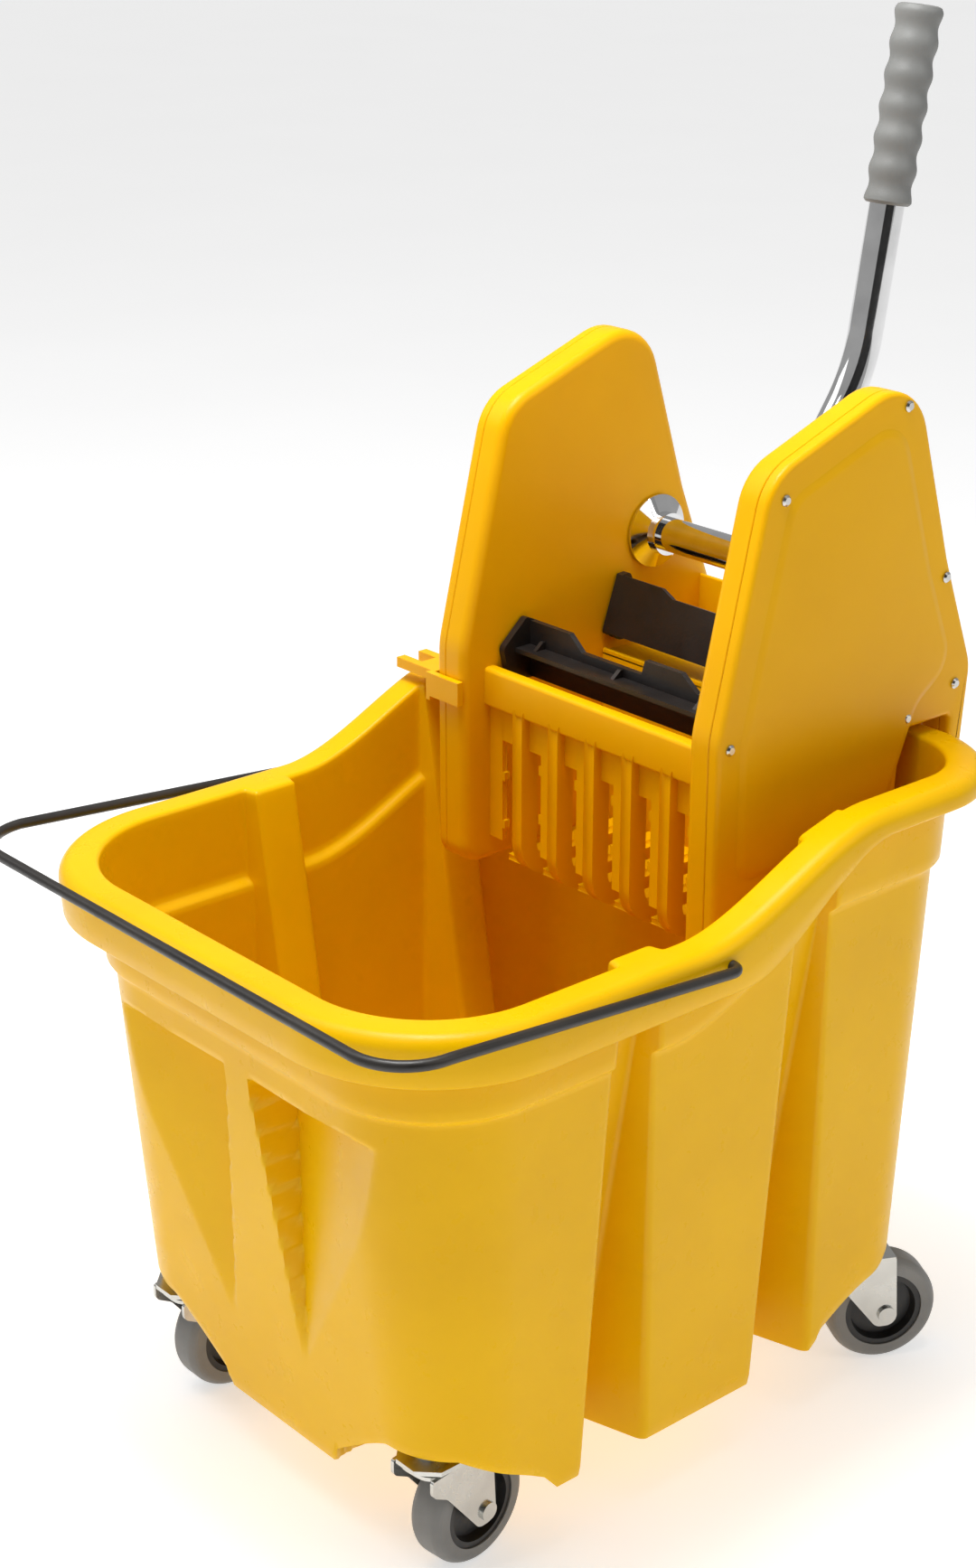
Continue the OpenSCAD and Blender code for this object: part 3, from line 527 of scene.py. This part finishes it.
def bucket_rings():
    """Rings from the foot up the outside, over the rim and down the inside, and how many are outside."""
    rings = []

    # lower wall, from the foot to the collar
    n = 84
    for k in range(n + 1):
        t = k / n
        g = -STEP - (1.2 - 0.6 * k if k < 2 else 0.0)
        rings.append(ring(lambda x, y, t=t: lerp(well_height(x, y), rim_z(y) - COLLAR - 3, t), g))
    for t in (0.25, 0.5, 0.75, 1.0):
        g = -STEP * (1 - float(smooth01(t)))
        rings.append(ring(lambda x, y, t=t: rim_z(y) - COLLAR - 3 + 6 * t, g))
    for d in (56, 47, 38, 29, 20, 12, 8):
        rings.append(ring(lambda x, y, d=d: rim_z(y) - d, 0.0))
    outside = len(rings)
    under = OVERHANG - WALL
    for g, d in ((1.5, 5), (5, 3.6), (13, 3.6), (under - 1.5, 5), (under, 8)):
        rings.append(ring(lambda x, y, d=d: rim_z(y) - d, g, None))
    for g, e in ((under, 1.0), (under + 0.7, 0.0), (OVERHANG - 0.7, 0.0), (OVERHANG, 1.0)):
        rings.append(ring(lambda x, y, e=e: skirt_z(y) + e, g, None))
    round_r = 10.0
    rings.append(ring(lambda x, y: lerp(skirt_z(y) + 1.0, rim_z(y) - round_r, 0.5), OVERHANG, None))
    for a in np.radians(np.linspace(0, 90, 9)):
        g = OVERHANG - round_r + round_r * math.cos(a)
        d = round_r * (1 - math.sin(a))
        rings.append(ring(lambda x, y, d=d: rim_z(y) - d, g, None))
    rings.append(ring(lambda x, y: rim_z(y), 4.0, None))
    # over the inner edge and down the inside of the collar
    for a in np.radians(np.linspace(90, 0, 6)):
        push = 3.0 * (1 - math.cos(a))
        d = 3.0 * (1 - math.sin(a))
        rings.append(ring(lambda x, y, d=d: rim_z(y) - d, -WALL + push, WALL - push))
    for d in np.linspace(3, COLLAR - WALL - 3, 14)[1:]:
        rings.append(ring(lambda x, y, d=d: rim_z(y) - d, -WALL, WALL))
    for t in (0.25, 0.5, 0.75, 1.0):
        g = -WALL - STEP * float(smooth01(t))
        rings.append(ring(lambda x, y, t=t: rim_z(y) - COLLAR + WALL + 3 - 6 * t, g, WALL))
    inner = -(STEP + WALL)
    m = 60
    for k in range(1, m + 1):
        t = k / m
        rings.append(ring(lambda x, y, t=t: lerp(rim_z(y) - COLLAR + WALL - 3,
                                                 well_height(x, y, WALL, FOOT_Z + WALL) + 8, t), inner, WALL))
    for a in np.radians((30, 60, 90)):
        g = inner - 8 * (1 - math.cos(a))
        d = 8 * (1 - math.sin(a))
        rings.append(ring(lambda x, y, d=d: well_height(x, y, WALL, FOOT_Z + WALL) + d, g,
                          WALL + 8 * (1 - math.cos(a))))
    return np.array(rings), outside


def build_bucket():
    """The moulded shell as one closed skin, in place of the CAD shell."""
    rings, outside = bucket_rings()
    count, m, _ = rings.shape
    for k in range(count):
        grow = 0.0 if k < outside else WALL
        for j in range(m):
            x, y, z = rings[k, j]
            if y < -400 and z < 312:
                rings[k, j, 1] += recess_shift(x, y, z, grow)
    full = np.concatenate([rings, rings[:, -2:0:-1] * np.array([-1, 1, 1])], axis=1)
    w = full.shape[1]
    verts = full.reshape(-1, 3).tolist()
    faces = [[k * w + i, k * w + (i + 1) % w, (k + 1) * w + (i + 1) % w, (k + 1) * w + i]
             for k in range(count - 1) for i in range(w)]

    def close(first, height, up):
        """Fills the underside or the inside bottom with rings that shrink to the mid line."""
        base = full[0 if first else count - 1]
        start = 0 if first else (count - 1) * w
        prev = list(range(start, start + w))
        steps = 40
        for s in range(1, steps + 1):
            t = s / steps
            ids = []
            for i in range(w):
                x, y, _z = base[i]
                spine = np.clip(y, -330.0, -160.0)
                px, py = lerp(x, 0.0, t), lerp(y, spine, t)
                ids.append(len(verts))
                verts.append([px, py, height(px, py)])
            for i in range(w):
                j = (i + 1) % w
                quad = [prev[i], prev[j], ids[j], ids[i]]
                faces.append(quad if up else quad[::-1])
            prev = ids

    close(True, lambda x, y: well_height(x, y), False)
    close(False, lambda x, y: well_height(x, y, WALL, FOOT_Z + WALL), True)
    def clean(bm):
        bmesh.ops.remove_doubles(bm, verts=bm.verts, dist=1e-5)
        bmesh.ops.dissolve_degenerate(bm, edges=bm.edges, dist=1e-6)

    obj = add_mesh("bucket", verts, faces, "bucket_plastic", "bucket")
    finish_mesh(obj, clean, 55)
    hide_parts("bucket_shell")


build_bucket()


# ------------------------------------------------------------------ bail
BAIL_Y = -264.0
BAIL_Z = float(rim_z(BAIL_Y)) - 14
BAIL_X, BAIL_FRONT, BAIL_R = 207.3, -514.0, 3.3


def build_bail():
    """The coated wire, from its hook in one side of the rim to the other."""
    top, bend, corner = BAIL_Z + 17, 6.0, 36.0
    half = [(BAIL_X - 15, BAIL_Y, BAIL_Z)]
    half += [(BAIL_X - bend + bend * math.sin(a), BAIL_Y - bend + bend * math.cos(a), BAIL_Z)
             for a in np.linspace(0, math.pi / 2, 7)]
    half += [(BAIL_X, BAIL_Y - 10, BAIL_Z + 0.3)]
    half += [(BAIL_X - corner + corner * math.cos(a), BAIL_FRONT + corner - corner * math.sin(a), top)
             for a in np.linspace(0, math.pi / 2, 14)]
    pts = half + [(-x, y, z) for x, y, z in half[::-1]]
    obj = tube("bail", densify(pts, 9.0), BAIL_R, "bail_coating", "bail", 20)
    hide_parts("bail_handle")


build_bail()


# ------------------------------------------------------------------ wringer housings
NOTCH_Z = 447.0
FACE_IN, SEAM, FACE_OUT = 102.0, 120.0, 130.0
HOUSING = [(-206, 325, 16), (-206, 478, 60), (-169, 632, 36), (-46, 677, 36), (-7, 552, 90), (22, 478, 34),
           (14, 388, 7), (4, 388, 4.5), (4, NOTCH_Z, 3), (-42, NOTCH_Z, 3), (-48, 325, 16)]
PANEL = [(-188, 384, 14), (-188, 476, 46), (-154, 617, 24), (-58, 652, 24), (-24, 548, 80), (2, 484, 22),
         (-30, 462, 30), (-62, 384, 20)]


def outline_solid(name, outline, levels, side):
    """Stack of outlines at (x, inset), each inset along the outline's own normals, with both ends filled."""
    prev, nxt = np.roll(outline, 1, axis=0), np.roll(outline, -1, axis=0)
    tangent = nxt - prev
    tangent /= np.linalg.norm(tangent, axis=1)[:, None]
    area = np.sum(outline[:, 0] * nxt[:, 1] - nxt[:, 0] * outline[:, 1])
    normal = np.column_stack([-tangent[:, 1], tangent[:, 0]]) * (1 if area > 0 else -1)
    n = len(outline)
    verts, faces = [], []
    for x, inset in levels:
        p = outline + normal * inset
        verts += [(side * x, py, pz) for py, pz in p]
    for k in range(len(levels) - 1):
        faces += [[k * n + i, k * n + (i + 1) % n, (k + 1) * n + (i + 1) % n, (k + 1) * n + i]
                  for i in range(n)]
    faces += [list(range(n))[::-1], [(len(levels) - 1) * n + i for i in range(n)]]
    obj = add_mesh(name, verts, faces, "wringer_plastic", "wringer")
    finish_mesh(obj)
    return obj


def fillet_levels(x_flat, x_end, r, steps=6):
    """Levels that run straight to x_end and turn in there with radius r."""
    sign = 1 if x_end > x_flat else -1
    return [(x_end - sign * r * (1 - math.sin(a)), r * (1 - math.cos(a)))
            for a in np.linspace(0, math.pi / 2, steps + 1)]


COVER_FACE = FACE_OUT - 1.6


def build_housings():
    """Both gear housings: the basket's side, the cover and the raised panel on it."""
    outline, panel = rounded(HOUSING, 10), rounded(PANEL, 10)
    for side, tag in ((-1, "left"), (1, "right")):
        inner = outline_solid(tag + "_housing_side", outline,
                              [(SEAM - 0.3, 0.5), (SEAM - 0.8, 0.0)] + fillet_levels(SEAM, FACE_IN, 6.5), side)
        cover = outline_solid(tag + "_cover", outline,
                              [(SEAM, 0.5), (SEAM + 0.5, 0.0)] + fillet_levels(SEAM, COVER_FACE, 3.6), side)
        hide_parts(tag + "_housing_cover")
        outline_solid(tag + "_cover_panel", panel,
                      [(FACE_OUT - 3, 0.0), (COVER_FACE, 0.0), (FACE_OUT - 1.35, 1.0), (FACE_OUT - 0.8, 2.6),
                       (FACE_OUT - 0.25, 4.2), (FACE_OUT, 6.0)], side)
        if side < 0:
            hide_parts("wringer_basket")


build_housings()


# ------------------------------------------------------------------ basket
CH_BACK, CH_FRONT = -82.0, -183.0
GRILLE_Z, RAIL_Z = 333.0, 462.0
SHEET = 3.0
PITCH, RIBS_EACH_SIDE, RIB_HALF = 34.0, 2, 4.5
SIDE_X = FACE_IN + 1


def basket_piece(name, outline, axis, a, b, bevel):
    """One moulded part of the basket, which rides with the wringer."""
    return prism(name, outline, axis, a, b, "wringer_plastic", "wringer", bevel)


def basket_beams():
    """The front rail, the back, the shelf behind it and the rear panel, all across the wringer."""
    rail = rounded([(CH_FRONT - 5, RAIL_Z - 26, 2), (CH_FRONT + 5, RAIL_Z - 26, 1), (CH_FRONT + 5, RAIL_Z, 2.5),
                    (CH_FRONT - 5, RAIL_Z, 3)], 5)
    basket_piece("basket_rail", rail, "x", -SIDE_X, SIDE_X, 0.4)
    back = rounded([(CH_BACK, GRILLE_Z - 4, 1), (CH_BACK + SHEET, GRILLE_Z - 4, 1), (CH_BACK + SHEET, 452, 1.4),
                    (CH_BACK, 452, 1.4)], 3)
    basket_piece("basket_back", back, "x", -SIDE_X, SIDE_X, 0.3)
    shelf_top = NOTCH_Z + SHEET
    shelf = rounded([(CH_BACK, NOTCH_Z, 1), (12, NOTCH_Z, 1), (12, shelf_top, 1.4), (CH_BACK, shelf_top, 1)], 3)
    basket_piece("basket_shelf", shelf, "x", -SIDE_X, SIDE_X, 0.3)
    rear = rounded([(12 - SHEET, 392, 1.2), (12, 392, 1.2), (12, 486, 1.4), (12 - SHEET, 486, 1.4)], 3)
    basket_piece("basket_rear_panel", rear, "x", -SIDE_X, SIDE_X, 0.3)


def grille_ribs():
    """Ribs that run down the front and turn under."""
    outer, under = CH_FRONT - 4, GRILLE_Z - 7
    side = rounded([(outer, RAIL_Z - 22, 2), (outer, under, 22), (CH_BACK, under, 0.5),
                    (CH_BACK, GRILLE_Z, 0.5), (CH_FRONT + 5, GRILLE_Z, 14), (CH_FRONT + 5, RAIL_Z - 22, 1)], 7)
    for k in range(2 * RIBS_EACH_SIDE + 1):
        x = (k - RIBS_EACH_SIDE) * PITCH
        basket_piece("grille_rib_%d" % k, side, "x", x - RIB_HALF, x + RIB_HALF, 2.4)


def with_lugs(a, b):
    """The outline of a slat between a and b, with two small lugs along each edge."""
    out, into = b + 2.4, a - 2.2
    points = [(a, GRILLE_Z + 10), (b, GRILLE_Z + 10)]
    for low in (352, 386):
        points += [(b, low), (out, low), (out, low + 5), (b, low + 5)]
    points += [(b, RAIL_Z - 20), (a, RAIL_Z - 20)]
    for high in (406, 372):
        points += [(a, high), (into, high), (into, high - 6), (a, high - 6)]
    return points


GAPS = 2 * RIBS_EACH_SIDE + 2


def gap_middle(k):
    """The middle of one of the gaps beside the ribs."""
    return (k - RIBS_EACH_SIDE - 0.5) * PITCH


def grille_slats():
    """Slats in the gaps between the ribs, and the band that joins their tops."""
    for k in range(GAPS):
        a, b = gap_middle(k) - 0.5, gap_middle(k) + 13.0
        if k == 0:
            a, b = -SIDE_X, -RIBS_EACH_SIDE * PITCH - 22.0
        if k == GAPS - 1:
            b = SIDE_X
        basket_piece("grille_slat_%d" % k, with_lugs(a, b), "y", CH_FRONT, CH_FRONT + 4, 0.4)
    head = [(-SIDE_X, 414), (SIDE_X, 414), (SIDE_X, RAIL_Z - 10), (-SIDE_X, RAIL_Z - 10)]
    basket_piece("grille_head", head, "y", CH_FRONT + 0.2, CH_FRONT + 4, 0.4)


def grille_floor():
    """Bars that close the gaps of the grille's floor."""
    near, far = CH_FRONT + 4, CH_BACK
    for k in range(GAPS):
        a, b = gap_middle(k) - 2.0, gap_middle(k) + 12.5
        bar = [(a, near), (b, near), (b, far), (a, far)]
        basket_piece("grille_floor_%d" % k, bar, "z", GRILLE_Z - 4, GRILLE_Z, 0.5)


basket_beams()
grille_ribs()
grille_slats()
grille_floor()


# ------------------------------------------------------------------ lever
LOW, HIGH = math.radians(36), math.radians(10)
LOW_LEN, LEVER_TOP, GRIP_LEN = 141.0, 868.0, 124.0
BEND = (SHAFT_Y + LOW_LEN * math.sin(LOW), SHAFT_Z + LOW_LEN * math.cos(LOW))
HIGH_LEN = (LEVER_TOP - BEND[1]) / math.cos(HIGH)


def build_lever():
    """The bent chrome tube and the ribbed grip on its upper end."""
    start, tube_r = 15.5, 11.5
    path = rounded_open([
        (SHAFT_Y + start * math.sin(LOW), SHAFT_Z + start * math.cos(LOW)),
        (BEND[0], BEND[1], 110.0),
        (BEND[0] + (HIGH_LEN - 3) * math.sin(HIGH), BEND[1] + (HIGH_LEN - 3) * math.cos(HIGH))], 16)
    pts = densify([(0.0, y, z) for y, z in path], 20.0)
    obj = tube("lever_bar", pts, tube_r, "chrome", "lever", 40)
    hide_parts("lever_tube")
    base = np.array(BEND)
    d = np.array([math.sin(HIGH), math.cos(HIGH)])
    e = np.array([math.cos(HIGH), -math.sin(HIGH)])

    def place(u, v, h):
        p = base + d * (HIGH_LEN - GRIP_LEN + h) + e * v
        return (u, p[0], p[1])

    grip_r, wave_height, waves, steps = 14.6, 0.9, 6, 72
    profile = [(tube_r, 0.0), (13.6, 0.0), (grip_r, 0.8)]
    for k in range(steps + 1):
        t = k / steps
        wave = wave_height * math.cos(2 * math.pi * waves * t)
        profile.append((grip_r + wave, 2.0 + (GRIP_LEN - 6.0) * t))
    profile += [(15.0, 121.5), (14.0, 123.2), (12.0, GRIP_LEN), (0.0, GRIP_LEN + 0.2),
                (0.0, 120.0), (tube_r, 120.0)]
    grip = revolve("hand_grip", profile, place, "grip_rubber", "lever", 56)
    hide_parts("lever_grip")


build_lever()


# ------------------------------------------------------------------ kept CAD pieces
BEVEL = {"press_plate": 0.0008, "caster_fork": 0.0007, "caster_stem": 0.0006, "caster_axle": 0.0004,
         "rim_hook": 0.0012, "_gear": 0.0004, "shaft_flange": 0.0006, "lever_socket": 0.0008,
         "lever_bolt": 0.0004, "cover_screws": 0.0003, "wheel_hub": 0.0007}


def dress_cad_nodes():
    """Gives every CAD piece its material, and the small ones softened edges."""
    for name, obj in frame["nodes"].items():
        mat = MAT[SLOT[name]]
        obj.data.materials.clear()
        obj.data.materials.append(mat)
        for key, width in BEVEL.items():
            if key in name:
                mod = obj.modifiers.new("edge", "BEVEL")
                mod.width = width
                mod.segments = 2
                mod.limit_method = "ANGLE"
                mod.angle_limit = math.radians(35)
                mod.use_clamp_overlap = True


dress_cad_nodes()


# ------------------------------------------------------------------ stage
FLOOR_HALF = 12.0
CARD_TURN, CARD_AWAY, CARD_HALF, CARD_LEVELS = math.radians(68.0), 2.5, 1.3, (0.5, 3.4)
WORLD_LIGHT = 0.38
LIGHTS = [  # name, place, point it faces, size in metres, power in watts
    ("key", (-1.7, -1.2, 2.3), (0, 0, 0.35), (1.6, 1.6), 11),
    ("fill", (2.3, 0.9, 1.9), (0, 0, 0.35), (1.4, 1.4), 7),
    ("top", (-0.1, -0.35, 2.4), (0, -0.1, 0.3), (1.5, 1.5), 26),
    ("inside", (0.0, -0.2, 1.6), (0.0, -0.02, 0.1), (0.4, 0.3), 9),
]


def stage_sheet(name, corners, material, scale, dark, light, rough):
    """A flat sheet of the studio with its own two-tone material, which returns its shader."""
    mesh = bpy.data.meshes.new(name)
    mesh.from_pydata(corners, [], [[0, 1, 2, 3]])
    obj = bpy.data.objects.new(name, mesh)
    bpy.context.scene.collection.objects.link(obj)
    mat, bsdf = new_material(material)
    tones = ramp(mat, noise(mat, coords(mat), scale, 2.0), [(0.3, (dark,) * 3), (0.7, (light,) * 3)])
    links(mat)[1].new(tones, bsdf.inputs["Base Color"])
    bsdf.inputs["Roughness"].default_value = rough
    mesh.materials.append(mat)
    return bsdf


def build_floor():
    """A pale paper floor that glows a little, so that it stays near white."""
    s = FLOOR_HALF
    corners = [(-s, -s, 0), (s, -s, 0), (s, s, 0), (-s, s, 0)]
    bsdf = stage_sheet("floor", corners, "floor_paper", 3.0, 0.86, 0.88, 0.9)
    bsdf.inputs["Emission Color"].default_value = (1.0, 1.0, 1.0, 1.0)
    bsdf.inputs["Emission Strength"].default_value = 0.5


def build_dark_card():
    """A dark card to the right of the camera, which the chrome and the zinc reflect.

    It stands in front of any camera farther out on that side, so it hides the object there.
    """
    mid = Vector((math.sin(CARD_TURN), -math.cos(CARD_TURN), 0.0)) * CARD_AWAY
    across = Vector((math.cos(CARD_TURN), math.sin(CARD_TURN), 0.0)) * CARD_HALF
    (ax, ay, _), (bx, by, _) = mid - across, mid + across
    low, high = CARD_LEVELS
    corners = [(ax, ay, low), (bx, by, low), (bx, by, high), (ax, ay, high)]
    stage_sheet("dark_card", corners, "card_cloth", 4.0, 0.015, 0.03, 0.95)


def add_lights():
    """White surroundings and the soft area lights."""
    world = bpy.data.worlds.new("studio")
    bpy.context.scene.world = world
    world.use_nodes = True
    background = world.node_tree.nodes["Background"]
    background.inputs["Color"].default_value = (1.0, 1.0, 1.0, 1.0)
    background.inputs["Strength"].default_value = WORLD_LIGHT
    for name, at, target, size, power in LIGHTS:
        data = bpy.data.lights.new(name, "AREA")
        data.shape = "RECTANGLE"
        data.size, data.size_y = size
        data.energy = power
        obj = bpy.data.objects.new(name, data)
        obj.location = at
        obj.rotation_euler = (Vector(target) - Vector(at)).to_track_quat("-Z", "Y").to_euler()
        bpy.context.scene.collection.objects.link(obj)


bpy.context.scene.view_settings.view_transform = "Standard"
build_floor()
build_dark_card()
add_lights()
